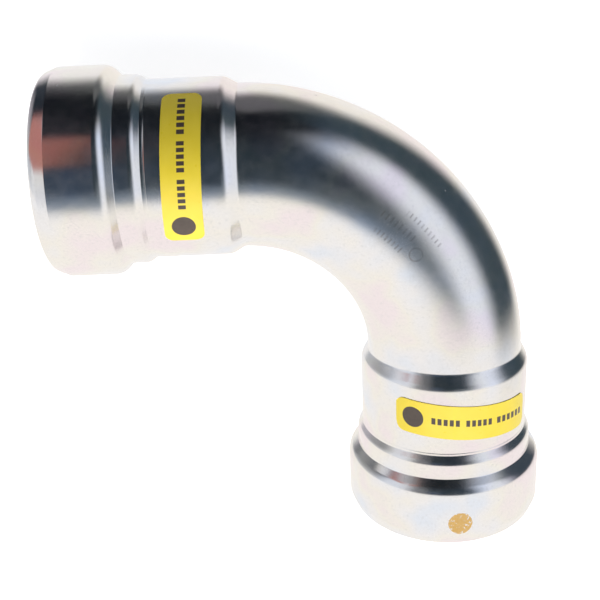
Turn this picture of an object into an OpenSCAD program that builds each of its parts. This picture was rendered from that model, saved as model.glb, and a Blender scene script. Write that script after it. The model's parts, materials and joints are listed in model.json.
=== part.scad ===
// Press elbow, 90 degrees: a steel tube bent and formed in one piece, with a press socket on each end.
// Behind each mouth a bead holds a toothed grip ring, a separator ring and a profile seal.
// Units are millimetres. The elbow lies flat: leg A points along -X, leg B along -Y, the surface is z = 0.

/* [Pipe and wall] */
// Outside diameter of the pipe that goes in
pipe_od = 42.2; // [38:0.1:48]
// Play between pipe and socket, per side
pipe_play = 0.3; // [0.2:0.05:0.6]
// Wall thickness of the formed tube
wall = 1.8; // [1.4:0.1:2.2]
// Depth from the mouth to the pipe stop
socket_depth = 45.8; // [42:0.2:60]

/* [Bend] */
// Bend radius on the centre line
bend_radius = 54.4; // [46:0.2:75]
// Straight tube between the bend and each socket
tube_run = 0.3; // [0.1:0.1:15]
// Step from the socket down to the tube, per side
taper_drop = 2; // [1:0.1:3]
// Outer rounding of that step
taper_shoulder = 2.6; // [2.4:0.1:6]
// Inner rounding of that step
taper_root = 0.8; // [0.5:0.1:3]
// Steepest slope of that step, in degrees
taper_angle = 42; // [30:1:50]

/* [Mouth bead] */
// Play between pipe and mouth, per side
mouth_play = 0.7; // [0.4:0.1:1.2]
// Rounding of the turned-in lip
lip_radius = 3.3; // [2.6:0.1:4]
// Slope of the lip towards the mouth, in degrees
lip_angle = 21; // [12:1:35]
// Depth of the lip, from the mouth to its edge on the bead
lip_depth = 4.6; // [3.8:0.1:6]
// Depth of the bead, from the mouth to its shoulder
bead_depth = 16.25; // [14:0.05:22]
// Height of the bead above the step ring, per side
bead_rise = 2.75; // [1.8:0.05:3.6]
// Outer rounding of the bead's shoulder
bead_shoulder = 3.9; // [3.2:0.1:5]
// Rounding of the groove behind the bead
bead_root = 0.3; // [0.2:0.1:1.2]
// Steepest slope of the bead's shoulder, in degrees
bead_angle = 46; // [38:1:52]

/* [Step ring] */
// Height of the step ring above the socket, per side
ring_rise = 1.35; // [0.9:0.05:2]
// Length of the step ring's flat
ring_length = 3.5; // [3:0.1:8]
// Outer rounding of the step ring's shoulder
ring_shoulder = 3; // [2.6:0.1:4]
// Inner rounding at the foot of that shoulder
ring_root = 0.6; // [0.2:0.1:1.2]
// Steepest slope of that shoulder, in degrees
ring_angle = 36; // [30:1:42]
// Distance from the foot of that shoulder to the fine groove behind it
groove_offset = 0.65; // [0.5:0.05:2]
// Depth of the fine groove
groove_depth = 0.12; // [0.05:0.01:0.3]
// Rounding of the fine groove
groove_radius = 0.35; // [0.3:0.05:0.5]

/* [Grip and separator rings] */
// Play between the chamber's wall and what lies in it
chamber_play = 0.15; // [0.05:0.05:0.3]
// Play between one ring and the next
ring_play = 0.1; // [0.05:0.05:0.3]
// Width of the grip ring along the socket
grip_width = 5.6; // [4.6:0.1:6.4]
// Play between pipe and the tips of the teeth, per side
tooth_play = 0.25; // [0.2:0.05:0.4]
// Height of the teeth
tooth_height = 0.9; // [0.5:0.1:1.3]
// Rows of teeth
tooth_rows = 3; // [2:1:4]
// Teeth in a row
teeth = 24; // [16:1:36]
// Width of the slot between two teeth
tooth_slot = 1.5; // [0.8:0.1:2.2]
// Gap where the grip ring is split
grip_split = 3; // [1:0.2:6]
// Thickness of the separator ring
separator_thickness = 0.8; // [0.5:0.1:1.4]
// Play between pipe and separator ring, per side
separator_play = 0.45; // [0.3:0.05:0.8]

/* [Seal] */
// Play between pipe and the seal's ribs, per side
seal_play = 0.25; // [0.2:0.05:0.4]
// Height of the seal's ribs
rib_height = 0.5; // [0.3:0.1:0.8]
// Rounding of a rib
rib_radius = 0.9; // [0.6:0.1:1.4]
// Number of ribs
ribs = 3; // [2:1:4]

/* [Press labels] */
// Length of a label round the socket
label_length = 41.3; // [24:0.1:60]
// Width of a label along the socket
label_width = 9.9; // [6:0.1:14]
// Rounding of a label's corners
label_corner = 2.4; // [0.6:0.1:2.9]
// How far the labels sit behind the middle of the socket
label_shift = 0.3; // [-1:0.1:1]
// Thickness of a label
label_thickness = 0.12; // [0.08:0.01:0.3]
// Layer of adhesive under a label
adhesive = 0.08; // [0.05:0.01:0.15]
// Middle of the label on leg A, in degrees from the top towards the inside of the bend
label_a_angle = -15.3; // [-60:0.1:60]
// Slant of the label on leg A
slant_a_angle = -1.8; // [-6:0.1:6]
// Middle of the label on leg B, in degrees from the top towards the outside of the bend
label_b_angle = 10.6; // [-60:0.1:60]
// Slant of the label on leg B
slant_b_angle = -5.8; // [-6:0.1:6]

/* [Hidden] */
$fn = 96;
// How far a cut runs past what it cuts
cut_over = 1;

// A step from one radius to a smaller one is an arc, a cone and an arc back, each touching the next.
// How long the cone is, and the whole step along the axis:
function cone_length(drop, a, b, slope) = max(0, (drop - (a + b) * (1 - cos(slope))) / sin(slope));
function step_length(drop, a, b, slope) = (a + b) * sin(slope) + cone_length(drop, a, b, slope) * cos(slope);

pipe_r = pipe_od / 2;
socket_r = pipe_r + pipe_play + wall;
ring_r = socket_r + ring_rise;
bead_r = ring_r + bead_rise;
tube_r = socket_r - taper_drop;
mouth_r = pipe_r + mouth_play;

// Depths from the mouth
ring_at = bead_depth + step_length(bead_rise, bead_shoulder, bead_root, bead_angle);
ring_to = ring_at + ring_length;
socket_at = ring_to + step_length(ring_rise, ring_shoulder, ring_root, ring_angle);
groove_at = socket_at + groove_offset;
tube_at = socket_depth + step_length(taper_drop, taper_shoulder, taper_root, taper_angle);
leg = tube_at + tube_run;
reach = leg + bend_radius;

// The lip's rounding touches the mouth plane, and the lip's slope runs on from it to the bead
lip_slope = (lip_depth + lip_radius * sin(lip_angle) - lip_radius) / cos(lip_angle);
lip_r = bead_r - lip_slope * sin(lip_angle) - lip_radius * cos(lip_angle);

// What lies in the chamber, from the mouth inwards
grip_at = wall + chamber_play;
grip_to = grip_at + grip_width;
separator_at = grip_to + ring_play;
separator_to = separator_at + separator_thickness;
seal_at = separator_to + ring_play;
seal_to = ring_to;
tip_r = pipe_r + tooth_play;
row_pitch = grip_width / tooth_rows;
rib_r = pipe_r + seal_play;
rib_pitch = (seal_to - seal_at) / ribs;

label_at = (socket_at + socket_depth) / 2 + label_shift;
label_r = socket_r + adhesive;
label_span = label_length / label_r * 180 / PI;

// The two axes cross here, so that the part's box is centred on the origin and stands on z = 0
cross = [(reach - bead_r) / 2, (reach - bead_r) / 2, bead_r];

plated = [0.62, 0.63, 0.64];
stainless = [0.75, 0.75, 0.76];
seal_yellow = [0.86, 0.68, 0.12];
label_yellow = [0.95, 0.83, 0.1];

// Puts something with its mouth at the origin and its depth along +Z onto a leg. Its +X faces up.
module on_leg_a() {
    translate(cross - [reach, 0, 0]) rotate([0, 90, 0]) rotate([0, 0, 180]) children();
}

module on_leg_b() {
    translate(cross - [0, reach, 0]) rotate([-90, 0, 0]) rotate([0, 0, -90]) children();
}

// Corners of a step as radius and depth: start, centre of the first arc, ends of the cone, other centre, end
function step_path(r, drop, at, a, b, slope, inset) =
    let (c = [r - a, at], k = [r - drop + b, at + step_length(drop, a, b, slope)],
        away = [cos(slope), sin(slope)])
    [[r - inset, at], c, c + (a - inset) * away, k - (b + inset) * away, k, [r - drop - inset, k[1]]];

// Rounds a step that step_path has drawn straight
module add_shoulder(r, at, a, inset) {
    translate([r - a, at]) circle(a - inset);
}

module cut_root(r, drop, at, a, b, slope, inset) {
    translate([r - drop + b, at + step_length(drop, a, b, slope)]) circle(b + inset);
}

// Everything inside the formed tube's outer skin, as radius and depth, drawn in by inset
module skin(inset) {
    over = inset > 0 ? cut_over : 0;
    difference() {
        union() {
            polygon(concat(
                [[0, inset], [lip_r, inset], [lip_r, lip_radius],
                    [lip_r, lip_radius] + (lip_radius - inset) * [cos(lip_angle), -sin(lip_angle)],
                    [bead_r - inset, lip_depth + inset * tan(lip_angle / 2)]],
                step_path(bead_r, bead_rise, bead_depth, bead_shoulder, bead_root, bead_angle, inset),
                step_path(ring_r, ring_rise, ring_to, ring_shoulder, ring_root, ring_angle, inset),
                step_path(socket_r, taper_drop, socket_depth, taper_shoulder, taper_root, taper_angle, inset),
                [[tube_r - inset, leg + over], [0, leg + over]]));
            translate([lip_r, lip_radius]) circle(lip_radius - inset);
            add_shoulder(bead_r, bead_depth, bead_shoulder, inset);
            add_shoulder(ring_r, ring_to, ring_shoulder, inset);
            add_shoulder(socket_r, socket_depth, taper_shoulder, inset);
        }
        cut_root(bead_r, bead_rise, bead_depth, bead_shoulder, bead_root, bead_angle, inset);
        cut_root(ring_r, ring_rise, ring_to, ring_shoulder, ring_root, ring_angle, inset);
        cut_root(socket_r, taper_drop, socket_depth, taper_shoulder, taper_root, taper_angle, inset);
    }
}

// The part of the chamber between two depths
module chamber(from, to) {
    intersection() {
        skin(wall + chamber_play);
        translate([0, from]) square([bead_r, to - from]);
    }
}

module press_end() {
    rotate_extrude() difference() {
        skin(0);
        skin(wall);
        translate([0, -cut_over]) square([mouth_r, wall + 2 * cut_over]);
        translate([socket_r + groove_radius - groove_depth, groove_at]) circle(groove_radius);
    }
}

module elbow_body() {
    color(plated) union() {
        on_leg_a() press_end();
        on_leg_b() press_end();
        translate(cross - [bend_radius, bend_radius, 0])
            rotate_extrude(angle = 90) translate([bend_radius, 0]) difference() {
                circle(tube_r);
                circle(tube_r - wall);
            }
    }
}

// Saw teeth that let the pipe in and hold it against being pulled out
module grip_bore() {
    polygon(concat([[0, grip_at - cut_over], [tip_r + tooth_height, grip_at - cut_over]],
        [for (i = [0 : tooth_rows - 1], k = [0, 1])
            [tip_r + (k == 0 ? tooth_height : 0), grip_at + (i + k * 0.8) * row_pitch]],
        [[tip_r, grip_to + cut_over], [0, grip_to + cut_over]]));
}

module grip_ring() {
    color(stainless) difference() {
        rotate_extrude() difference() {
            chamber(grip_at, grip_to);
            grip_bore();
        }
        for (i = [0 : teeth - 1]) rotate([0, 0, (i + 0.5) * 360 / teeth])
            translate([0, -tooth_slot / 2, grip_at - cut_over])
                cube([tip_r + tooth_height, tooth_slot, grip_width + 2 * cut_over]);
        translate([0, -grip_split / 2, grip_at - cut_over])
            cube([bead_r, grip_split, grip_width + 2 * cut_over]);
    }
}

module separator_ring() {
    color(stainless) rotate_extrude() difference() {
        chamber(separator_at, separator_to);
        translate([0, separator_at - cut_over])
            square([pipe_r + separator_play, separator_thickness + 2 * cut_over]);
    }
}

module seal_ring() {
    color(seal_yellow) rotate_extrude() difference() {
        chamber(seal_at, seal_to);
        difference() {
            translate([0, seal_at - cut_over])
                square([rib_r + rib_height, seal_to - seal_at + 2 * cut_over]);
            for (i = [0 : ribs - 1])
                translate([rib_r + rib_radius, seal_at + (i + 0.5) * rib_pitch]) circle(rib_radius);
        }
    }
}

// What a rounded corner leaves off, with the corner at the origin and the label towards [-i, -j]
module corner_waste(i, j) {
    difference() {
        translate([-i, -j] * (label_corner - cut_over) / 2) square(label_corner + cut_over, center = true);
        translate([-i, -j] * label_corner) circle(label_corner);
    }
}

module press_label(label_angle, slant_angle) {
    color(label_yellow) difference() {
        intersection() {
            rotate([0, 0, label_angle - label_span / 2]) rotate_extrude(angle = label_span)
                translate([label_r, label_at - label_width]) square([label_thickness, 2 * label_width]);
            translate([0, 0, label_at]) rotate([0, 0, label_angle]) rotate([slant_angle, 0, 0])
                translate([socket_r / 2, 0, 0])
                    cube([2 * socket_r, 4 * socket_r, label_width], center = true);
        }
        for (i = [-1, 1], j = [-1, 1])
            translate([0, 0, label_at + j * label_width / 2 / cos(slant_angle)
                + i * label_r * sin(label_span / 2) * tan(slant_angle)])
                rotate([0, 0, label_angle + i * label_span / 2]) translate([label_r - cut_over, 0, 0])
                    rotate([90, 0, 90]) rotate([0, 0, slant_angle * cos(label_span / 2)])
                        linear_extrude(label_thickness + 2 * cut_over) corner_waste(i, j);
    }
}

elbow_body();
on_leg_a() grip_ring();  // grip_ring_a
on_leg_b() grip_ring();  // grip_ring_b
on_leg_a() separator_ring();  // separator_ring_a
on_leg_b() separator_ring();  // separator_ring_b
on_leg_a() seal_ring();  // seal_ring_a
on_leg_b() seal_ring();  // seal_ring_b
on_leg_a() press_label(label_a_angle, slant_a_angle);  // press_label_a
on_leg_b() press_label(label_b_angle, slant_b_angle);  // press_label_b
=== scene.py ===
# %% [markdown]
# A press elbow for steel pipe, dressed for a studio picture.
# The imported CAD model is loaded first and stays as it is: it says where everything lies.
# What follows adds the looks: the camera, a plated body with smooth skins, the finishes and the light.

import bpy
import json
import math
from mathutils import Matrix, Vector

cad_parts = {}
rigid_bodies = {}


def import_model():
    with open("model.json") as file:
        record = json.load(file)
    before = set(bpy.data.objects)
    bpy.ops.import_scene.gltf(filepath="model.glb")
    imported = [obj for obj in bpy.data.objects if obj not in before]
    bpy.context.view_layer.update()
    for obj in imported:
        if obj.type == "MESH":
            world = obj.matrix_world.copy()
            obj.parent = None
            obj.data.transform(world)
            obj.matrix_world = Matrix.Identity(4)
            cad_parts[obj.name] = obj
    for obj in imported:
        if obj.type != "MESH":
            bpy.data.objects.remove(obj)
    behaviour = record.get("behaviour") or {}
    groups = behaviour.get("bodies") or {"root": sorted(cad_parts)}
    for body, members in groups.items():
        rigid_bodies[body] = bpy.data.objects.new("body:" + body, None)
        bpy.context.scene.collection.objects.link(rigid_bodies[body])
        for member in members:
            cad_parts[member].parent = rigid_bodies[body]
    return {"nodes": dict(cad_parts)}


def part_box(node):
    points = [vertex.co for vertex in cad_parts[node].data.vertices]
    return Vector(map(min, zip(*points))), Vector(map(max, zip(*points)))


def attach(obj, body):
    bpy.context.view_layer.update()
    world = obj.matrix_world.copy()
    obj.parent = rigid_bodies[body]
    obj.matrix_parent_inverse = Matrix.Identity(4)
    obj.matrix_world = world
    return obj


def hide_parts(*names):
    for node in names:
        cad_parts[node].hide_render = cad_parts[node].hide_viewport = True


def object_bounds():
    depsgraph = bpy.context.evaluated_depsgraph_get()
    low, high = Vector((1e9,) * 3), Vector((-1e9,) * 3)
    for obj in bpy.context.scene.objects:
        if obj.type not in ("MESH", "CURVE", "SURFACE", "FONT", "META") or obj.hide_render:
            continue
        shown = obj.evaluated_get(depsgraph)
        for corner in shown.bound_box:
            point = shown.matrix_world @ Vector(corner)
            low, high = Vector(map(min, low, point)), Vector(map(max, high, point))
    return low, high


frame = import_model()
cad_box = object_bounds()
bpy.ops.object.select_all(action="DESELECT")
print("nodes:", sorted(frame["nodes"]))

# %% [markdown]
# The picture was taken from a little above the elbow with a short telephoto lens.
# Its place, its turn and its lens were fitted to the outline in the photograph.
# The camera is set from where it stands and from the three directions of its own axes: right, up and back.
# Writing the matrix out keeps the small roll that the photograph has, which aiming at a point would lose.

# %% Camera
MM = 0.001
camera_right = Vector((0.99912, -0.04107, 0.00820))
camera_up = Vector((0.04109, 0.92312, -0.38230))
camera_back = camera_right.cross(camera_up).normalized()
camera_up = camera_back.cross(camera_right).normalized()
camera_place = Vector((0.82, 111.60, 298.68)) * MM

camera_data = bpy.data.cameras.new("camera")
camera_data.sensor_width = 36.0
camera_data.lens = 63.63
camera_data.clip_start = 0.01
camera = bpy.data.objects.new("camera", camera_data)
bpy.context.scene.collection.objects.link(camera)
camera.matrix_world = Matrix((
    (camera_right.x, camera_up.x, camera_back.x, camera_place.x),
    (camera_right.y, camera_up.y, camera_back.y, camera_place.y),
    (camera_right.z, camera_up.z, camera_back.z, camera_place.z),
    (0.0, 0.0, 0.0, 1.0)))
bpy.context.scene.camera = camera
print("camera stands at", [round(v, 4) for v in camera_place], "metres")

# %% [markdown]
# The body is one steel tube: a quarter bend with a press socket formed on each end.
# From the mouth inwards, a socket has a turned-in lip, a bead, a step ring, a fine groove
# and a straight part, and then it steps down to the tube.
# Each step is a rounded shoulder, a short cone and a rounded root.
# Sizes are in millimetres, with depths measured from the mouth. Mouth, bead and ring are as in the CAD model.
# The step down to the tube is longer and softer here, as drawn steel has it, so the bend starts later.

# %% Sizes of the body
WALL = 1.8
SOCKET_R, RING_R, BEAD_R, TUBE_R, MOUTH_R = 23.2, 24.55, 27.3, 21.3, 21.8
BEAD_TO, RING_TO, GROOVE_AT, LABEL_AT, SOCKET_TO = 16.25, 24.188, 27.866, 36.808, 46.1
REACH, LEG = 104.026, 51.1
BEND_RADIUS = REACH - LEG
LIP_RADIUS, LIP_SLOPE, LIP_DEPTH = 3.3, math.radians(21), 4.6
LIP_EDGE, LIP_CREASE = 0.25, 0.4
GROOVE_TOOL, GROOVE_OFF, GROOVE_HALF = 0.35, 0.30, 0.17 * math.pi
# Each step: the radius of its shoulder, the radius of its root and the slope of its cone in degrees
BEAD_STEP, RING_STEP, TUBE_STEP = (3.9, 0.3, 46), (3.0, 0.6, 36), (3.8, 1.8, 30)
# A straight run longer than the first length gets points at the other two from each end
LONG_RUN, CLOSE, LESS_CLOSE = 1.2, 0.08, 0.35
print("bend radius:", round(BEND_RADIUS, 2), "mm")

# %% [markdown]
# A socket is a turned shape, so its wall is drawn once as a line of points, to be spun round the leg's axis.
# The line could be traced by hand, but polished metal shows every uneven spot.
# So it is drawn from true arcs that touch each other, and straight runs get extra points near their ends,
# which keep the smooth shading from bending them.

# %% Profile of a press socket
def arc(centre, radius, start, end, steps):
    """Points of an arc as radius and depth; an angle of 0 points away from the axis, 90 into the socket."""
    turns = [start + (end - start) * i / steps for i in range(steps + 1)]
    return [(centre[0] + radius * math.cos(a), centre[1] + radius * math.sin(a)) for a in turns]


def step_down(radius, lower, depth, form, inset):
    """A step to a lower radius: an arc, a cone, and an arc back, each touching the next."""
    shoulder, root, slope = form
    turn = math.radians(slope)
    cone = (radius - lower - (shoulder + root) * (1 - math.cos(turn))) / math.sin(turn)
    end = depth + (shoulder + root) * math.sin(turn) + cone * math.cos(turn)
    steps = 10 if inset == 0 else 5
    return (arc((radius - shoulder, depth), shoulder - inset, 0, turn, steps)
            + arc((lower + root, end), root + inset, math.pi + turn, math.pi, steps - 2))


def steady(points):
    """Adds points close to each end of a long straight run, so that its smooth shading stays straight."""
    line = points[:1]
    for here, there in zip(points, points[1:]):
        length = math.dist(here, there)
        if length > LONG_RUN:
            for place in (CLOSE, LESS_CLOSE, length - LESS_CLOSE, length - CLOSE):
                line.append(tuple(a + (b - a) * place / length for a, b in zip(here, there)))
        line.append(there)
    return line


def skin(inset):
    """The wall's outer skin for inset 0, or its inner skin for the wall's thickness, from the mouth in."""
    outer = inset == 0
    side = 1 if outer else -1
    cone = (LIP_DEPTH + LIP_RADIUS * math.sin(LIP_SLOPE) - LIP_RADIUS) / math.cos(LIP_SLOPE)
    lip_r = BEAD_R - cone * math.sin(LIP_SLOPE) - LIP_RADIUS * math.cos(LIP_SLOPE)
    edge = (MOUTH_R + LIP_EDGE, inset + side * LIP_EDGE)
    points = arc(edge, LIP_EDGE, math.pi, math.pi + side * math.pi / 2, steps=4)
    points += arc((lip_r, LIP_RADIUS), LIP_RADIUS - inset, -math.pi / 2, -LIP_SLOPE, steps=12 if outer else 5)
    crease = LIP_DEPTH + max(inset, LIP_CREASE) * math.tan(LIP_SLOPE / 2)
    if outer:
        points += arc((BEAD_R - LIP_CREASE, crease), LIP_CREASE, -LIP_SLOPE, 0, steps=4)
    else:
        points.append((BEAD_R - inset, crease))
    points += step_down(BEAD_R, RING_R, BEAD_TO, BEAD_STEP, inset)
    points += step_down(RING_R, SOCKET_R, RING_TO, RING_STEP, inset)
    if outer:
        points += arc((SOCKET_R + GROOVE_OFF, GROOVE_AT), GROOVE_TOOL,
                      math.pi + GROOVE_HALF, math.pi - GROOVE_HALF, steps=6)
    points += step_down(SOCKET_R, TUBE_R, SOCKET_TO, TUBE_STEP, inset)
    return steady(points + [(TUBE_R - inset, LEG)])


wall_line = skin(0)[::-1] + skin(WALL)
print("points in the wall's line:", len(wall_line))

# %% [markdown]
# A single point is the start: a plane whose corners are merged into one.
# Extruding that point along the line draws the wall, and one full spin turns it into a socket.
# A Screw modifier would do as well, but the spin leaves a plain mesh that the next steps can select from.

# %% Socket on leg A
AROUND = 168
TOUCH = 1e-6
low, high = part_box("elbow_body")
CROSS = Vector((high.x - BEAD_R * MM, high.y - BEAD_R * MM, low.z + BEAD_R * MM))
mouth_a = Vector((low.x, CROSS.y, CROSS.z))


def place_on_a(point):
    """A point of the profile, standing straight above leg A's axis."""
    return mouth_a + Vector((point[1] * MM, 0.0, point[0] * MM))


bpy.ops.mesh.primitive_plane_add(size=0.01, location=place_on_a(wall_line[0]))
body = bpy.context.object
body.name = "plated_body"
bpy.ops.object.transform_apply(location=True, rotation=True, scale=True)
bpy.ops.object.mode_set(mode="EDIT")
bpy.ops.mesh.select_all(action="SELECT")
bpy.ops.mesh.merge(type="CENTER")
bpy.ops.mesh.select_mode(type="VERT")
for here, there in zip(wall_line, wall_line[1:]):
    bpy.ops.mesh.extrude_vertices_move(TRANSFORM_OT_translate={"value": place_on_a(there) - place_on_a(here)})
bpy.ops.mesh.select_all(action="SELECT")
bpy.ops.mesh.spin(steps=AROUND, angle=math.tau, center=mouth_a, axis=(1, 0, 0))
bpy.ops.mesh.select_all(action="SELECT")
bpy.ops.mesh.remove_doubles(threshold=TOUCH)
bpy.ops.object.mode_set(mode="OBJECT")
print("socket:", len(body.data.vertices), "points")

# %% [markdown]
# The other socket is the same shape, turned a quarter round the point where the two axes cross.
# So the first one is copied and turned, which is quicker than drawing it again and can't come out different.

# %% Socket on leg B
def pick(thing):
    """Selects one object alone and makes it active."""
    bpy.ops.object.select_all(action="DESELECT")
    thing.select_set(True)
    bpy.context.view_layer.objects.active = thing


pick(body)
bpy.ops.object.duplicate()
socket_b = bpy.context.object
quarter_turn = Matrix.Rotation(math.pi / 2, 4, "Z")
socket_b.matrix_world = Matrix.Translation(CROSS) @ quarter_turn @ Matrix.Translation(-CROSS)
bpy.ops.object.transform_apply(location=True, rotation=True, scale=True)
print("second socket:", len(socket_b.data.vertices), "points")

# %% [markdown]
# The bend comes from the first socket's own end. Its two rims are spun a quarter turn round the bend's
# centre, so the rims meet the second socket point for point and can be merged.
# A tube that is bent flattens a little on its outside. Its rings are moved in towards the bend's centre
# and pressed a little oval, most in the middle and not at all where the sockets begin.

# %% Bend
BEND_STEPS = 88
# How far the middle of the bend moves in, in mm, how far its ring shrinks outwards and upwards, as shares,
# and how soon all that grows from the ends
MOVED_IN, THINNER, LOWER, GROWTH = 0.81, 0.014, 0.005, 1.4

pick(body)
bend_start = mouth_a.x + LEG * MM
bend_centre = CROSS - Vector((BEND_RADIUS, BEND_RADIUS, 0)) * MM
bpy.ops.object.mode_set(mode="EDIT")
bpy.ops.mesh.select_mode(type="VERT")
bpy.ops.mesh.select_all(action="DESELECT")
bpy.ops.object.mode_set(mode="OBJECT")
for vertex in body.data.vertices:
    vertex.select = abs(vertex.co.x - bend_start) < TOUCH
bpy.ops.object.mode_set(mode="EDIT")
bpy.ops.mesh.spin(steps=BEND_STEPS, angle=math.pi / 2, center=bend_centre, axis=(0, 0, 1))
bpy.ops.object.mode_set(mode="OBJECT")
for vertex in body.data.vertices:
    spoke = (vertex.co - bend_centre).to_2d()
    if spoke.x > 0 and spoke.y > 0:
        share = ((spoke.x + spoke.y) / spoke.length - 1) / (math.sqrt(2) - 1)
        share = max(share, 0) ** GROWTH
        outwards = spoke.length - BEND_RADIUS * MM
        spoke *= (spoke.length - (MOVED_IN * MM + THINNER * outwards) * share) / spoke.length
        vertex.co.xy = bend_centre.xy + spoke
        vertex.co.z = CROSS.z + (vertex.co.z - CROSS.z) * (1 - LOWER * share)
reach = max(vertex.co.x for vertex in body.data.vertices)
print("bend reaches x =", round(reach / MM, 2), "mm")

# %% [markdown]
# Socket, bend and socket become one skin: they are joined, and points that lie on each other are merged.
# Spinning can turn faces inside out, so the outward side is worked out afresh before the shading
# is made smooth. The piece then stands in for the body of the CAD model.

# %% One body
socket_b.select_set(True)
bpy.ops.object.join()
bpy.ops.object.mode_set(mode="EDIT")
bpy.ops.mesh.select_all(action="SELECT")
bpy.ops.mesh.remove_doubles(threshold=2 * TOUCH)
bpy.ops.mesh.normals_make_consistent(inside=False)
bpy.ops.object.mode_set(mode="OBJECT")
bpy.ops.object.shade_smooth()
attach(body, "root")
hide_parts("elbow_body")
print("body:", len(body.data.polygons), "faces")

# %% [markdown]
# Light and finishes are trees of nodes. By hand, each node is added, filled in and linked with the mouse.
# A few helpers do the same, so that a recipe can be read as a sum: maths is a Math node,
# smooth a soft step, between a soft window and mix a blend of two colours.

# %% Helpers for node trees
def node(tree, kind, **settings):
    """Adds a node and sets its properties."""
    made = tree.nodes.new(kind)
    for name, value in settings.items():
        setattr(made, name, value)
    return made


def feed(tree, socket, value):
    """Links an output to a socket, or writes a plain value into it."""
    if hasattr(value, "is_output"):
        tree.links.new(value, socket)
    elif hasattr(value, "__len__") and len(value) == 3 and len(socket.default_value) == 4:
        socket.default_value = (*value, 1.0)
    else:
        socket.default_value = value


def maths(tree, operation, *values):
    """A Math node; each value is a number or another node's output."""
    made = node(tree, "ShaderNodeMath", operation=operation)
    for socket, value in zip(made.inputs, values):
        feed(tree, socket, value)
    return made.outputs[0]


def smooth(tree, value, start, end):
    """Rises softly from 0 at start to 1 at end, or falls if the start lies above the end."""
    made = node(tree, "ShaderNodeMapRange", interpolation_type="SMOOTHSTEP")
    feed(tree, made.inputs["Value"], value)
    numbers = (start, end, 0.0, 1.0) if start < end else (end, start, 1.0, 0.0)
    for name, number in zip(("From Min", "From Max", "To Min", "To Max"), numbers):
        made.inputs[name].default_value = number
    return made.outputs[0]


def between(tree, value, low, high, soft_low, soft_high=None):
    """1 between two values, with soft ends."""
    soft_high = soft_high or soft_low
    return maths(tree, "MULTIPLY", smooth(tree, value, low - soft_low, low + soft_low),
                 smooth(tree, value, high + soft_high, high - soft_high))


def mix(tree, factor, first, second):
    """Mixes two colours."""
    made = node(tree, "ShaderNodeMix", data_type="RGBA")
    for number, value in ((0, factor), (6, first), (7, second)):
        feed(tree, made.inputs[number], value)
    return made.outputs[2]


# %% [markdown]
# Bright metal has hardly a colour of its own: it shows the room.
# The room here is a white sweep under and behind the elbow, a dark studio in front and overhead,
# a tall soft light on each side, a grey wall to the left and the bluish far end of a table below the dark.
# It could be built from cards and lamps, but those would turn up in other views.
# So it is written into the world as soft-edged windows of direction, and the camera itself sees plain white.
# Directions are named as the picture shows them: up is +Y, and the front, where the camera stands, is +Z.

# %% World: windows of direction
SWEEP_WHITE = (1.0, 0.967, 0.925)
SWEEP_FROM, SWEEP_TO = -22, -43
STUDIO_DARK, STUDIO_ABOVE = (0.015, 0.027, 0.038), (0.002, 0.004, 0.007)
ABOVE_FROM, ABOVE_TO = 25, 70
# Each window, in degrees: from and to beside the front, positive to the right, then from and to in height;
# how soft it is beside, below and above; and its colour
windows = (
    ("slate_wall", 72, 150, -60, 68, 8, 8, 12, (0.037, 0.058, 0.074)),
    ("navy_chair", -25, -10, -20, 20, 4, 6, 6, (0.030, 0.050, 0.085)),
    ("left_wall", -135, -44, -5, 31, 6, 7, 9, (0.29, 0.295, 0.31)),
    ("grey_wall", -44, -25, -25, 40, 5, 12, 24, (0.175, 0.180, 0.195)),
    ("floor_gap", 7, 38, -22, 3, 9, 8, 10, (0.092, 0.115, 0.135)),
    ("far_table", -45, 42, -60, -13, 10, 8, 9, (0.205, 0.250, 0.305)),
    ("left_table", -86, -56, -70, 0, 8, 8, 8, (0.93, 0.94, 0.98)),
    ("far_left_table", -168, -86, -70, 0, 8, 8, 24, (0.90, 0.92, 0.96)),
    ("left_softbox", -84, -46, -60, 53, 11, 8, 12, (0.78, 0.79, 0.82)),
    ("right_softbox", 34, 75, -60, 52, 14, 10, 15, (0.81, 0.85, 0.95)),
    ("left_ceiling", -300, -150, 55, 95, 14, 9, 4, (0.12, 0.125, 0.13)),
    ("right_ceiling", 132, 300, 55, 95, 16, 9, 4, (0.12, 0.125, 0.13)),
    ("backdrop_left", -240, -150, -60, 50, 9, 10, 12, (0.98, 0.97, 0.96)),
    ("backdrop_right", 138, 240, -60, 48, 16, 10, 13, (0.99, 0.95, 0.90)),
)
print("world:", len(windows), "windows")

# %% [markdown]
# A world's Generated coordinates are the direction of a ray, so two angles come straight from them.
# Each window is laid over the ones before it, and the white sweep comes last, over everything that lies low.

# %% World: nodes
world = bpy.data.worlds.new("studio")
bpy.context.scene.world = world
world.use_nodes = True
sky = world.node_tree
sky.nodes.clear()
towards = node(sky, "ShaderNodeSeparateXYZ")
sky.links.new(node(sky, "ShaderNodeTexCoord").outputs["Generated"], towards.inputs[0])
beside_front = maths(sky, "ARCTAN2", towards.outputs["X"], towards.outputs["Z"])
side = maths(sky, "MULTIPLY", beside_front, math.degrees(1))
height = maths(sky, "MULTIPLY", maths(sky, "ARCSINE", towards.outputs["Y"]), math.degrees(1))

room = mix(sky, smooth(sky, height, ABOVE_FROM, ABOVE_TO), STUDIO_DARK, STUDIO_ABOVE)
for _, left, right, bottom, top, beside, below, above, colour in windows:
    inside = maths(sky, "MULTIPLY", between(sky, side, left, right, beside),
                   between(sky, height, bottom, top, below, above))
    room = mix(sky, inside, room, colour)
room = mix(sky, smooth(sky, height, SWEEP_FROM, SWEEP_TO), room, SWEEP_WHITE)

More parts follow.
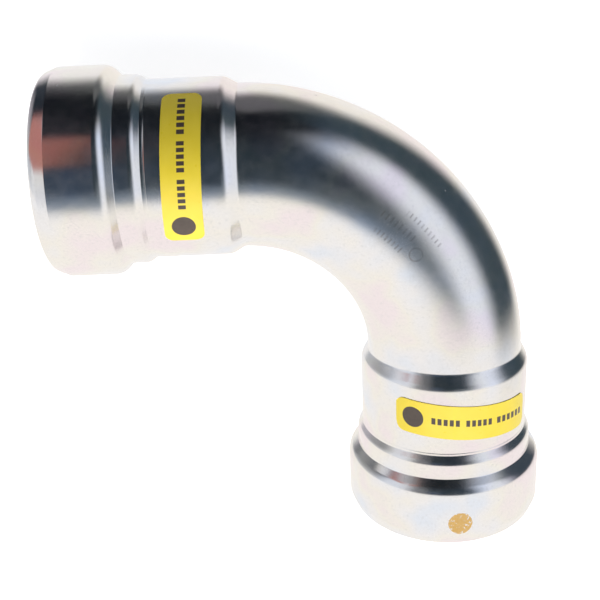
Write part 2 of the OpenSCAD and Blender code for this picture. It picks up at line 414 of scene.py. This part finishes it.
seen = node(sky, "ShaderNodeLightPath").outputs["Is Camera Ray"]
light = node(sky, "ShaderNodeBackground")
sky.links.new(mix(sky, seen, room, (1.0, 1.0, 1.0)), light.inputs["Color"])
light.inputs["Strength"].default_value = 1.0
sky.links.new(light.outputs[0], node(sky, "ShaderNodeOutputWorld").inputs["Surface"])
bpy.context.scene.view_settings.view_transform = "Standard"
print("world:", len(sky.nodes), "nodes")

# %% [markdown]
# The floor is a plain pale sheet. It keeps the soft shadow under the elbow,
# but mirrored rays pass it by and see the sweep that is written into the world.
# A glow that only the camera sees lifts the sheet to the white of the background.

# %% Floor
FLOOR_SIZE, FLOOR_GLOW = 6.0, 0.73


def bare(name):
    """A new material with an empty tree."""
    material = bpy.data.materials.new(name)
    material.use_nodes = True
    material.node_tree.nodes.clear()
    return material, material.node_tree


bpy.ops.object.select_all(action="DESELECT")
bpy.ops.mesh.primitive_plane_add(size=FLOOR_SIZE, location=(0, 0, 0))
floor = bpy.context.object
floor.name = "floor"
floor.visible_glossy = False
paper, sheet = bare("white_paper")
matt = node(sheet, "ShaderNodeBsdfDiffuse")
matt.inputs["Color"].default_value = (0.85, 0.85, 0.85, 1)
glow = node(sheet, "ShaderNodeEmission")
seen = node(sheet, "ShaderNodeLightPath").outputs["Is Camera Ray"]
sheet.links.new(maths(sheet, "MULTIPLY", seen, FLOOR_GLOW), glow.inputs["Strength"])
both = node(sheet, "ShaderNodeAddShader")
sheet.links.new(matt.outputs[0], both.inputs[0])
sheet.links.new(glow.outputs[0], both.inputs[1])
sheet.links.new(both.outputs[0], node(sheet, "ShaderNodeOutputMaterial").inputs["Surface"])
floor.data.materials.append(paper)
print("floor:", FLOOR_SIZE, "metres wide")

# %% [markdown]
# What stands close to bright metal looks different from each part of it, and a world can't show that.
# So three glowing cards stand round the elbow, and only mirrored rays see them.
# One lies where the table was: the lower leg is close to it and mirrors more of it than the upper one does.
# Two brown ones stand in front to the left and beside the upper mouth, where the upper leg faces them.
# Their edges fade out softly, by the place of a point on the card.

# %% Cards that only reflections see
def card(name, centre, turn, size, colour, fades):
    """A glowing card, in metres; each fade has an axis, from and to along it, and how soft the ends are."""
    bpy.ops.object.select_all(action="DESELECT")
    bpy.ops.mesh.primitive_plane_add(size=size, location=centre, rotation=turn)
    made = bpy.context.object
    made.name = name
    bpy.ops.object.transform_apply(location=True, rotation=True, scale=True)
    for ray in ("camera", "diffuse", "transmission", "volume_scatter", "shadow"):
        setattr(made, "visible_" + ray, False)
    material, tree = bare(name)
    place = node(tree, "ShaderNodeSeparateXYZ")
    tree.links.new(node(tree, "ShaderNodeTexCoord").outputs["Object"], place.inputs[0])
    shown = 1.0
    for axis, *ends in fades:
        shown = maths(tree, "MULTIPLY", shown, between(tree, place.outputs[axis], *ends))
    glow = node(tree, "ShaderNodeEmission")
    glow.inputs["Color"].default_value = (*colour, 1.0)
    fade = node(tree, "ShaderNodeMixShader")
    tree.links.new(shown, fade.inputs[0])
    tree.links.new(node(tree, "ShaderNodeBsdfTransparent").outputs[0], fade.inputs[1])
    tree.links.new(glow.outputs[0], fade.inputs[2])
    tree.links.new(fade.outputs[0], node(tree, "ShaderNodeOutputMaterial").inputs["Surface"])
    made.data.materials.append(material)


quarter = math.pi / 2
card("table_card", centre=(0, cad_box[0][1] - MM, 0), turn=(quarter, 0, 0), size=1.2,
     colour=SWEEP_WHITE,
     fades=(("X", -0.60, 0.225, 0.01, 0.135), ("Z", -0.60, 0.245, 0.01, 0.09)))
card("cupboard_card", centre=(-0.11, 0.15, 0.17), turn=(0, 0, 0), size=0.20,
     colour=(0.33, 0.135, 0.108),
     fades=(("X", -0.128, -0.085, 0.010, 0.008), ("Y", 0.092, 0.205, 0.010, 0.020)))
card("shelf_card", centre=(-0.096, 0.066, 0.075), turn=(0, quarter, 0), size=0.13,
     colour=(0.46, 0.205, 0.175),
     fades=(("Y", 0.053, 0.092, 0.004, 0.006), ("Z", 0.040, 0.118, 0.005, 0.008)))
print("cards: table, cupboard, shelf")

# %% [markdown]
# One large soft lamp hangs over the elbow, on the lower leg's side. It is there for the labels and the floor,
# which scatter light. The metal would mirror it as a bright square that the photograph hasn't got,
# so mirrored rays don't see it.

# %% Soft lamp
lamp_data = bpy.data.lights.new("front_lamp", "AREA")
lamp_data.shape = "SQUARE"
lamp_data.size = 0.8
lamp_data.energy = 4.8
lamp = bpy.data.objects.new("front_lamp", lamp_data)
bpy.context.scene.collection.objects.link(lamp)
lamp.location = (0.09, -0.36, 0.51)
lamp.rotation_euler = (CROSS - lamp.location).to_track_quat("-Z", "Y").to_euler()
lamp.visible_glossy = False
lamp.visible_camera = False
print("lamp:", round(lamp_data.energy, 2), "watts")

# %% [markdown]
# A finish is a tree of nodes on Object coordinates, so its pattern stays put on the piece.
# These helpers make what most finishes share: noise, a range for it, a colour ramp, a bump and a distance.

# %% Helpers for finishes
def finish(name):
    """A new material: its tree, its shader and its Object coordinates."""
    material = bpy.data.materials.new(name)
    material.use_nodes = True
    tree = material.node_tree
    return material, tree, tree.nodes["Principled BSDF"], node(tree, "ShaderNodeTexCoord").outputs["Object"]


def noise(tree, vector, scale, detail=2.0, roughness=0.5):
    """Noise on a vector; the scale is in ripples per metre."""
    made = node(tree, "ShaderNodeTexNoise")
    tree.links.new(vector, made.inputs["Vector"])
    for name, value in (("Scale", scale), ("Detail", detail), ("Roughness", roughness)):
        made.inputs[name].default_value = value
    return made.outputs["Fac"]


def scaled(tree, value, least, most):
    """Stretches a value that runs from 0 to 1 over the range from least to most."""
    return maths(tree, "MULTIPLY_ADD", value, most - least, least)


def colours(tree, value, stops):
    """A colour ramp from pairs of position and colour."""
    made = node(tree, "ShaderNodeValToRGB")
    tree.links.new(value, made.inputs[0])
    ramp = made.color_ramp
    while len(ramp.elements) < len(stops):
        ramp.elements.new(0.5)
    for stop, (position, colour) in zip(ramp.elements, stops):
        stop.position = position
        stop.color = (*colour, 1.0)
    return made.outputs[0]


def bump(tree, height, distance, strength):
    """Lets a height shape the shading, with the depth in metres."""
    made = node(tree, "ShaderNodeBump")
    tree.links.new(height, made.inputs["Height"])
    made.inputs["Distance"].default_value = distance
    made.inputs["Strength"].default_value = strength
    return made.outputs[0]


def distance(tree, first, second):
    """How far a point given by two outputs lies from nought."""
    squares = maths(tree, "MULTIPLY_ADD", first, first, maths(tree, "MULTIPLY", second, second))
    return maths(tree, "SQRT", squares)


# %% [markdown]
# The plating is a thin layer of zinc and nickel with a clear passivation film on it.
# The film gives broad, faint tints of pink, straw and blue, so the colour comes from slow noise
# that runs through a ramp of near-white metals, with a fine grain of duller spots over it.
# The film also scatters a little light, so the shader is not quite all metal:
# that lifts the dark reflections where much light falls, as a haze does.
# It is mottled, so one more noise, with finer ripples on top, drives both that scatter and the roughness.
# A few pale flecks are the dust and nicks of handling.

# %% Plated steel: tint, roughness and flecks
FILM_TINTS = (
    (0.30, (0.78, 0.83, 0.92)), (0.42, (0.86, 0.86, 0.88)),
    (0.53, (0.88, 0.86, 0.82)), (0.66, (0.88, 0.81, 0.84)))
GRAIN_TONE, GRAIN_SHARE = (0.52, 0.53, 0.55), 0.32
GRAIN_FROM, GRAIN_TO = 0.50, 0.80
FLECK_TONE, FLECK_SHARE = (0.62, 0.63, 0.64), 0.6
ROUGH_LEAST, ROUGH_MOST = 0.135, 0.245
CELLS_PER_M, PLAIN_CELLS = 190.0, 0.86
FLECK_LEAST, FLECK_MOST = 0.02, 0.07

plate, steel, shader, spot = finish("zinc_nickel_plate")
film = colours(steel, noise(steel, spot, scale=60.0), FILM_TINTS)
mottle = noise(steel, spot, scale=330.0, detail=5.0, roughness=0.62)
haze = scaled(steel, mottle, ROUGH_LEAST, ROUGH_MOST)
grain = smooth(steel, noise(steel, spot, scale=1500.0, detail=3.0, roughness=0.7), GRAIN_FROM, GRAIN_TO)
film = mix(steel, maths(steel, "MULTIPLY", grain, GRAIN_SHARE), film, GRAIN_TONE)

cells = node(steel, "ShaderNodeTexVoronoi")
cells.inputs["Scale"].default_value = CELLS_PER_M
steel.links.new(spot, cells.inputs["Vector"])
chance = node(steel, "ShaderNodeSeparateColor")
steel.links.new(cells.outputs["Color"], chance.inputs[0])
few = maths(steel, "GREATER_THAN", chance.outputs[0], PLAIN_CELLS)
fleck_size = scaled(steel, chance.outputs[1], FLECK_LEAST, FLECK_MOST)
dust = maths(steel, "MULTIPLY", few, maths(steel, "LESS_THAN", cells.outputs["Distance"], fleck_size))
film = mix(steel, maths(steel, "MULTIPLY", dust, FLECK_SHARE), film, FLECK_TONE)
print("plating: tint, grain and flecks take", len(steel.nodes), "nodes")

# %% [markdown]
# A laser has burnt a ring and a few faint strokes into the top of the bend.
# They have no depth to speak of, only a darker, duller skin, so they aren't cut into the mesh.
# They are drawn by their place: how far along the bend and how far round the tube, in millimetres.

# %% Plated steel: etched strokes
ETCH_ALONG, ETCH_ROUND = math.radians(44), math.radians(86)
# Each row: its start and end along the bend, its middle and height across it, and the pitch of its strokes
ETCH_ROWS = ((-7.0, 2.6, 2.2, 1.5, 1.25), (-9.0, 3.0, -2.2, 1.9, 1.4), (-3.0, 8.0, -6.2, 1.4, 1.2))
ETCH_RING_ALONG, ETCH_RING_INNER, ETCH_RING_OUTER = 5.6, 1.5, 1.9
STROKE_FROM, STROKE_TO = 0.25, 0.60
ETCH_SOFT, STROKE_SOFT, ROW_SOFT = 0.12, 0.1, 0.05
BURNT_TONE, BURNT_ROUGHER = (0.27, 0.25, 0.24), 0.10
BURNT_LEAST, BURNT_MOST = 0.04, 0.64
etch_radius = BEND_RADIUS + TUBE_R * math.cos(ETCH_ROUND)

place = node(steel, "ShaderNodeSeparateXYZ")
steel.links.new(spot, place.inputs[0])
spoke_x = maths(steel, "SUBTRACT", place.outputs["X"], bend_centre.x)
spoke_y = maths(steel, "SUBTRACT", place.outputs["Y"], bend_centre.y)
above_axis = maths(steel, "SUBTRACT", place.outputs["Z"], CROSS.z)
outside_axis = maths(steel, "SUBTRACT", distance(steel, spoke_x, spoke_y), BEND_RADIUS * MM)
round_tube = maths(steel, "ARCTAN2", above_axis, outside_axis)
along_turn = maths(steel, "SUBTRACT", ETCH_ALONG, maths(steel, "ARCTAN2", spoke_y, spoke_x))
along = maths(steel, "MULTIPLY", along_turn, etch_radius)
across = maths(steel, "MULTIPLY", maths(steel, "SUBTRACT", round_tube, ETCH_ROUND), TUBE_R)


def strokes(start, end, middle, height, pitch):
    """A row of short strokes along the bend."""
    stroke_place = maths(steel, "FRACT", maths(steel, "DIVIDE", along, pitch))
    row = maths(steel, "MULTIPLY", between(steel, along, start, end, ROW_SOFT),
                between(steel, stroke_place, STROKE_FROM, STROKE_TO, STROKE_SOFT))
    band = between(steel, across, middle - height / 2, middle + height / 2, ETCH_SOFT)
    return maths(steel, "MULTIPLY", row, band)


ring_off = distance(steel, maths(steel, "SUBTRACT", along, ETCH_RING_ALONG), across)
etched = between(steel, ring_off, ETCH_RING_INNER, ETCH_RING_OUTER, ETCH_SOFT)
for row in ETCH_ROWS:
    etched = maths(steel, "MAXIMUM", etched, strokes(*row))
uneven = scaled(steel, noise(steel, spot, scale=900.0), BURNT_LEAST, BURNT_MOST)
etched = maths(steel, "MULTIPLY", etched, uneven)
film = mix(steel, etched, film, BURNT_TONE)
haze = maths(steel, "MULTIPLY_ADD", etched, BURNT_ROUGHER, haze)
print("etched rows:", len(ETCH_ROWS))

# %% [markdown]
# A round dab of ochre paint sits on leg B's bead: a sign that the fitting was tested.
# It could be a thin piece of its own, but paint has next to no thickness, so it lies in the same material.
# Its place is measured on the bead: the angle round the leg times the radius, and the depth from the mouth.

# %% Plated steel: paint dab
DAB_DEPTH, DAB_ANGLE = 8.24, math.radians(3.0)
DAB_CLEAR, DAB_FULL, RAGGED = 3.4, 3.25, 0.25
SCRATCH_FROM, SCRATCH_TO = 0.58, 0.64
OUTER_SKIN = 26.4
DEEP_OCHRE, LIGHT_OCHRE = (0.52, 0.30, 0.065), (0.62, 0.38, 0.11)
mouth_b = Vector((CROSS.x, low.y, CROSS.z))


def on_leg(tree, spot, leg):
    """Where a point lies on a leg: depth from the mouth in mm, angle from the top, and radius in mm."""
    place = node(tree, "ShaderNodeSeparateXYZ")
    tree.links.new(spot, place.inputs[0])
    x, y, z = place.outputs
    if leg == "a":
        depth, aside = maths(tree, "SUBTRACT", x, mouth_a.x), maths(tree, "SUBTRACT", y, CROSS.y)
    else:
        depth, aside = maths(tree, "SUBTRACT", y, mouth_b.y), maths(tree, "SUBTRACT", x, CROSS.x)
    above = maths(tree, "SUBTRACT", z, CROSS.z)
    radius = distance(tree, aside, above)
    return (maths(tree, "DIVIDE", depth, MM), maths(tree, "ARCTAN2", aside, above),
            maths(tree, "DIVIDE", radius, MM))


depth, angle, radius = on_leg(steel, spot, "b")
ragged = scaled(steel, noise(steel, spot, scale=900.0), -RAGGED, RAGGED)
off = distance(steel, maths(steel, "SUBTRACT", depth, DAB_DEPTH),
               maths(steel, "MULTIPLY", maths(steel, "SUBTRACT", angle, DAB_ANGLE), BEAD_R))
dab = smooth(steel, maths(steel, "ADD", off, ragged), DAB_CLEAR, DAB_FULL)
dab = maths(steel, "MULTIPLY", dab, maths(steel, "GREATER_THAN", radius, OUTER_SKIN))
scratches = noise(steel, spot, scale=1300.0, detail=3.0, roughness=0.65)
scratched = smooth(steel, scratches, SCRATCH_FROM, SCRATCH_TO)
dab = maths(steel, "MULTIPLY", dab, maths(steel, "SUBTRACT", 1.0, scratched))
ochre = mix(steel, noise(steel, spot, scale=500.0), DEEP_OCHRE, LIGHT_OCHRE)
print("paint dab:", 2 * DAB_FULL, "mm across")

# %% [markdown]
# Now the layers meet in one shader. Paint and dust aren't metal, so they take the metal away where they lie,
# and they are duller. A very low bump makes the reflections waver, as a drawn and plated skin does.

# %% Plated steel: the shader
CLOUD_FROM, CLOUD_TO = 0.35, 0.75
SCATTER_LEAST, SCATTER_MOST, DUST_SCATTER = 0.011, 0.031, 0.4
DULL = 0.5
WAVES, DAB_RISE = 0.6, 0.4
WAVE_DEPTH, WAVE_STRENGTH = 0.00004, 0.35

steel.links.new(mix(steel, dab, film, ochre), shader.inputs["Base Color"])
cloudy = smooth(steel, mottle, CLOUD_FROM, CLOUD_TO)
scatter = scaled(steel, cloudy, SCATTER_LEAST, SCATTER_MOST)
scatter = maths(steel, "MULTIPLY_ADD", dust, DUST_SCATTER, scatter)
not_metal = maths(steel, "MAXIMUM", dab, scatter)
steel.links.new(maths(steel, "SUBTRACT", 1.0, not_metal), shader.inputs["Metallic"])
dull = maths(steel, "MULTIPLY", maths(steel, "MAXIMUM", dab, dust), DULL)
steel.links.new(maths(steel, "MAXIMUM", haze, dull), shader.inputs["Roughness"])
skin_waves = maths(steel, "MULTIPLY_ADD", noise(steel, spot, scale=420.0), WAVES,
                   maths(steel, "MULTIPLY", dab, DAB_RISE))
steel.links.new(bump(steel, skin_waves, WAVE_DEPTH, WAVE_STRENGTH), shader.inputs["Normal"])
body.data.materials.clear()
body.data.materials.append(plate)
print("plate:", len(steel.nodes), "nodes")

# %% [markdown]
# Each socket carries a strip of yellow film that comes off once the joint is pressed.
# The CAD already has its shape, so the strip keeps that and only gets a finish.
# What is printed on it is drawn by its place on the strip: how far along it and how far from its middle line.
# The print is plain: three groups of bars and a dot at the end.

# %% Press labels
ADHESIVE, STRIP_THICK = 0.08, 0.12
STRIP_R = SOCKET_R + ADHESIVE + STRIP_THICK / 2
# Each group of bars: where it starts along the strip in mm, how many bars it has, and their pitch
BAR_GROUPS = ((18.9, 6, 1.85), (6.6, 5, 1.62), (-2.7, 5, 1.62))
BAR_FROM, BAR_TO, BAR_HALF = 0.17, 0.83, 0.95
BAR_SOFT, GROUP_SOFT, ROW_EDGE_SOFT = 0.03, 0.01, 0.05
DOT_AT, DOT_CLEAR, DOT_FULL = -15.7, 3.05, 2.95
LIGHT_YELLOW, DEEP_YELLOW = (0.96, 0.75, 0.07), (0.89, 0.68, 0.04)
LIGHT_INK, DEEP_INK = (0.10, 0.075, 0.06), (0.065, 0.048, 0.04)
SHEEN_LEAST, SHEEN_MOST = 0.24, 0.36


def strip_finish(name, leg, middle, slant):
    """Yellow film with a plain print, for the label on one leg; its middle and slant are in degrees."""
    material, tree, shader, spot = finish(name)
    depth, angle, _ = on_leg(tree, spot, leg)
    turn = maths(tree, "SUBTRACT", angle, math.radians(middle))
    along = maths(tree, "MULTIPLY", turn, STRIP_R)
    lean = maths(tree, "MULTIPLY", maths(tree, "SINE", turn), STRIP_R * math.tan(math.radians(slant)))
    across = maths(tree, "SUBTRACT", maths(tree, "SUBTRACT", depth, LABEL_AT), lean)
    bars = 0.0
    for start, count, pitch in BAR_GROUPS:
        place = maths(tree, "DIVIDE", maths(tree, "SUBTRACT", start, along), pitch)
        bar = between(tree, maths(tree, "FRACT", place), BAR_FROM, BAR_TO, BAR_SOFT)
        group = maths(tree, "MULTIPLY", bar, between(tree, place, 0.0, count, GROUP_SOFT))
        bars = maths(tree, "ADD", bars, group)
    bars = maths(tree, "MULTIPLY", bars, between(tree, across, -BAR_HALF, BAR_HALF, ROW_EDGE_SOFT))
    dot_off = distance(tree, maths(tree, "SUBTRACT", along, DOT_AT), across)
    dot = smooth(tree, dot_off, DOT_CLEAR, DOT_FULL)
    ink = maths(tree, "MINIMUM", maths(tree, "ADD", bars, dot), 1.0)
    yellow = mix(tree, noise(tree, spot, scale=260.0), DEEP_YELLOW, LIGHT_YELLOW)
    ink_tone = mix(tree, noise(tree, spot, scale=900.0), DEEP_INK, LIGHT_INK)
    sheen = scaled(tree, noise(tree, spot, scale=700.0), SHEEN_LEAST, SHEEN_MOST)
    tree.links.new(mix(tree, ink, yellow, ink_tone), shader.inputs["Base Color"])
    tree.links.new(sheen, shader.inputs["Roughness"])
    waves = bump(tree, noise(tree, spot, scale=300.0), distance=0.00004, strength=0.3)
    tree.links.new(waves, shader.inputs["Normal"])
    return material


def give(node_name, material):
    """Puts a finish on a node of the CAD model."""
    slots = frame["nodes"][node_name].data.materials
    slots.clear()
    slots.append(material)


give("press_label_a", strip_finish("yellow_film_a", "a", middle=15.3, slant=1.8))
give("press_label_b", strip_finish("yellow_film_b", "b", middle=10.6, slant=-5.8))
print("labels:", len(BAR_GROUPS), "groups of bars on each")

# %% [markdown]
# Inside each bead lie a stainless grip ring, a thin stainless separator and a rubber seal.
# They show only when one looks into a mouth. The rings are stamped, so they are satin with fine marks;
# the seal is moulded, so it is soft-edged, dull and a little uneven in colour.

# %% Rings and seals
DULL_STAINLESS, BRIGHT_STAINLESS = (0.55, 0.55, 0.56), (0.70, 0.70, 0.70)
DEEP_RUBBER, LIGHT_RUBBER = (0.60, 0.34, 0.03), (0.72, 0.44, 0.05)

stainless, tree, shader, spot = finish("satin_stainless")
stretch = node(tree, "ShaderNodeMapping")
stretch.inputs["Scale"].default_value = (1.0, 1.0, 6.0)
tree.links.new(spot, stretch.inputs["Vector"])
marks = noise(tree, stretch.outputs[0], scale=500.0, detail=4.0)
tree.links.new(mix(tree, marks, DULL_STAINLESS, BRIGHT_STAINLESS), shader.inputs["Base Color"])
tree.links.new(scaled(tree, marks, least=0.22, most=0.42), shader.inputs["Roughness"])
shader.inputs["Metallic"].default_value = 1.0
tree.links.new(bump(tree, marks, distance=0.00003, strength=0.3), shader.inputs["Normal"])

rubber, tree, shader, spot = finish("yellow_rubber")
cloud = noise(tree, spot, scale=180.0, detail=3.0)
tree.links.new(mix(tree, cloud, DEEP_RUBBER, LIGHT_RUBBER), shader.inputs["Base Color"])
tree.links.new(scaled(tree, cloud, least=0.42, most=0.57), shader.inputs["Roughness"])
pores = bump(tree, noise(tree, spot, scale=1800.0), distance=0.00003, strength=0.4)
tree.links.new(pores, shader.inputs["Normal"])

for leg in "ab":
    give("grip_ring_" + leg, stainless)
    give("separator_ring_" + leg, stainless)
    give("seal_ring_" + leg, rubber)
print("rings and seals: stainless and rubber")
